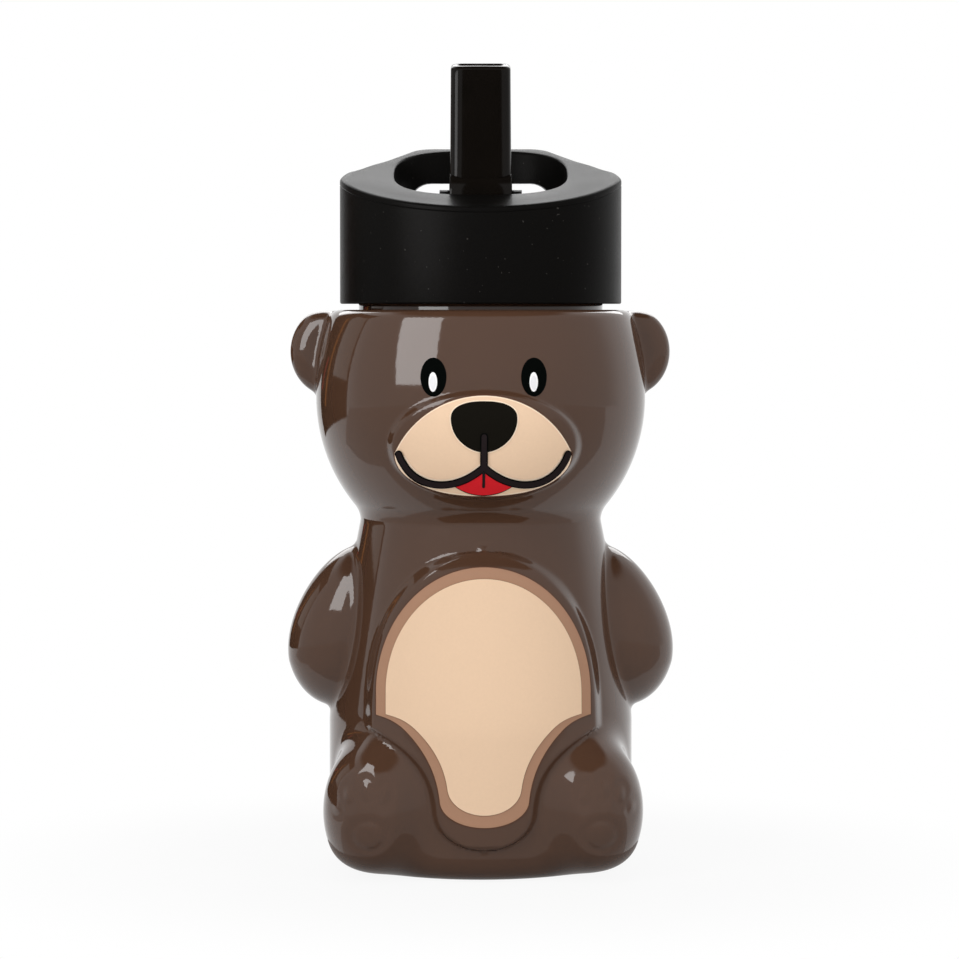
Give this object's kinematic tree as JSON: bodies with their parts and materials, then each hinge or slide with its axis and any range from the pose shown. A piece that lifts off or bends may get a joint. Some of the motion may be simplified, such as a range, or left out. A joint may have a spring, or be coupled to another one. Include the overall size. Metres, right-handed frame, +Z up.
{
  "type": "bear-shaped water bottle",
  "caption": "Bear-shaped drinking bottle with a round screw lid, a slanted carry loop and a flat flip-up straw spout.",
  "frame": {"origin": "middle of the base on the axis of the neck, at the height of the surface that the bottle stands on", "axes": "+Z up along the neck's axis; the bear looks along -Y; +X is to the right of someone who looks at its face"},
  "size_m": [0.0996, 0.0869, 0.2052],
  "materials": {
    "brown_gloss": "glossy brown blown plastic",
    "black_matt": "fine matt black moulded plastic",
    "black_gloss": "polished black moulded plastic",
    "silicone": "milky silicone",
    "straw_plastic": "satin translucent white plastic"
  },
  "bodies": {
    "bottle": {"bottle_body": "brown_gloss"},
    "gasket": {"lid_gasket": "silicone"},
    "lid": {"lid_shell": "black_matt", "vent_valve": "silicone", "spout_seal": "silicone", "straw_grommet": "silicone", "straw": "straw_plastic"},
    "flip_spout": {"spout": "black_gloss"}
  },
  "joints": [
    {"name": "lid_lift", "type": "slide", "parent": "bottle", "child": "gasket", "axis": [0, 0, 1], "range_m": [0, 0.155]},
    {"name": "lid_turn", "type": "hinge", "parent": "gasket", "child": "lid", "pos_m": [0, 0, 0.163], "axis": [0, 0, 1], "range_deg": [0, 450]},
    {"name": "spout_flip", "type": "hinge", "parent": "lid", "child": "flip_spout", "pos_m": [-0.00042, -0.01599, 0.1717], "axis": [-0.9997, 0.0262, 0], "range_deg": [0, 90]}
  ]
}
